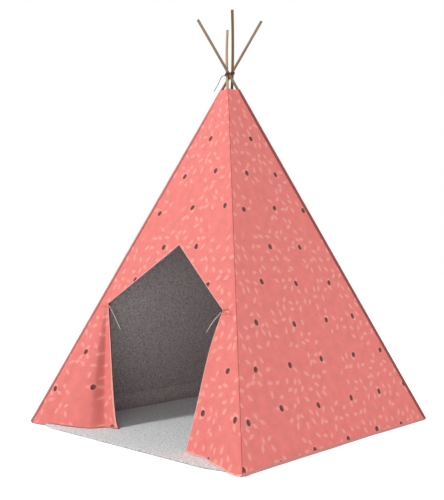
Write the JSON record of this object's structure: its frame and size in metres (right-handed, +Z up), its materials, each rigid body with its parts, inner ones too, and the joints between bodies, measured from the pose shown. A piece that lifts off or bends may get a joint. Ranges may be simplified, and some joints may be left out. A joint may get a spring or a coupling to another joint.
{
  "type": "kids teepee",
  "caption": "Children's play tent: cloth pyramid cover sleeved on crossed, lashed wooden poles, with a tied-back door opening and a floor mat",
  "frame": {"origin": "on the floor at the middle of the base", "axes": "+Z up, the door faces -Y, +X is to the right as seen from in front of the door"},
  "size_m": [1.2154, 1.2154, 1.7474],
  "materials": {
    "wood": "sanded softwood, thin clear varnish",
    "ferrule": "plain drawn tube",
    "foot": "matt moulded",
    "sleeve_cloth": "printed cotton canvas",
    "cover_cloth": "printed cotton canvas, grey inside",
    "mat_cloth": "short fleece on padding",
    "cord": "braided cord",
    "ribbon": "cotton cord"
  },
  "bodies": {
    "cover": {"lashing": "cord", "lashing_tail": "cord", "door_panel": "cover_cloth", "right_panel": "cover_cloth", "back_panel": "cover_cloth", "left_panel": "cover_cloth", "floor_mat": "mat_cloth"},
    "front_left_pole_set": {"front_left_upper_pole": "wood", "front_left_lower_pole": "wood", "front_left_ferrule": "ferrule", "front_left_foot": "foot", "front_left_sleeve": "sleeve_cloth"},
    "front_right_pole_set": {"front_right_upper_pole": "wood", "front_right_lower_pole": "wood", "front_right_ferrule": "ferrule", "front_right_foot": "foot", "front_right_sleeve": "sleeve_cloth"},
    "back_right_pole_set": {"back_right_upper_pole": "wood", "back_right_lower_pole": "wood", "back_right_ferrule": "ferrule", "back_right_foot": "foot", "back_right_sleeve": "sleeve_cloth"},
    "back_left_pole_set": {"back_left_upper_pole": "wood", "back_left_lower_pole": "wood", "back_left_ferrule": "ferrule", "back_left_foot": "foot", "back_left_sleeve": "sleeve_cloth"},
    "left_flap": {"door_flap_left": "cover_cloth", "tie_left": "ribbon", "tie_left_tail": "ribbon"},
    "right_flap": {"door_flap_right": "cover_cloth", "tie_right": "ribbon", "tie_right_tail": "ribbon", "tie_right_short_end": "ribbon"}
  },
  "joints": [
    {"name": "front_left_fold", "type": "hinge", "parent": "cover", "child": "front_left_pole_set", "pos_m": [-0.00811, 0.00811, 1.5], "axis": [0.7166, -0.6975, 0], "range_deg": [0, 26.5], "deforming": ["door_panel", "right_panel", "back_panel", "left_panel", "floor_mat", "door_flap_left", "tie_left", "tie_left_tail", "door_flap_right", "tie_right", "tie_right_tail", "tie_right_short_end"]},
    {"name": "front_right_fold", "type": "hinge", "parent": "cover", "child": "front_right_pole_set", "pos_m": [-0.00811, -0.00811, 1.5], "axis": [0.6975, 0.7166, 0], "range_deg": [0, 26.5], "deforming": ["door_panel", "right_panel", "back_panel", "left_panel", "floor_mat", "door_flap_left", "tie_left", "tie_left_tail", "door_flap_right", "tie_right", "tie_right_tail", "tie_right_short_end"]},
    {"name": "back_right_fold", "type": "hinge", "parent": "cover", "child": "back_right_pole_set", "pos_m": [0.00811, -0.00811, 1.5], "axis": [-0.7166, 0.6975, 0], "range_deg": [0, 26.5], "deforming": ["door_panel", "right_panel", "back_panel", "left_panel", "floor_mat", "door_flap_left", "tie_left", "tie_left_tail", "door_flap_right", "tie_right", "tie_right_tail", "tie_right_short_end"]},
    {"name": "back_left_fold", "type": "hinge", "parent": "cover", "child": "back_left_pole_set", "pos_m": [0.00811, 0.00811, 1.5], "axis": [-0.6975, -0.7166, 0], "range_deg": [0, 26.5], "deforming": ["door_panel", "right_panel", "back_panel", "left_panel", "floor_mat", "door_flap_left", "tie_left", "tie_left_tail", "door_flap_right", "tie_right", "tie_right_tail", "tie_right_short_end"]},
    {"name": "left_flap_swing", "type": "hinge", "parent": "front_left_pole_set", "child": "left_flap", "pos_m": [-0.6, -0.6, 0.0076], "axis": [-0.3448, -0.3542, -0.8693], "range_deg": [0, 75]},
    {"name": "right_flap_swing", "type": "hinge", "parent": "front_right_pole_set", "child": "right_flap", "pos_m": [0.6, -0.6, 0.0076], "axis": [-0.3542, 0.3448, 0.8693], "range_deg": [0, 75]}
  ]
}
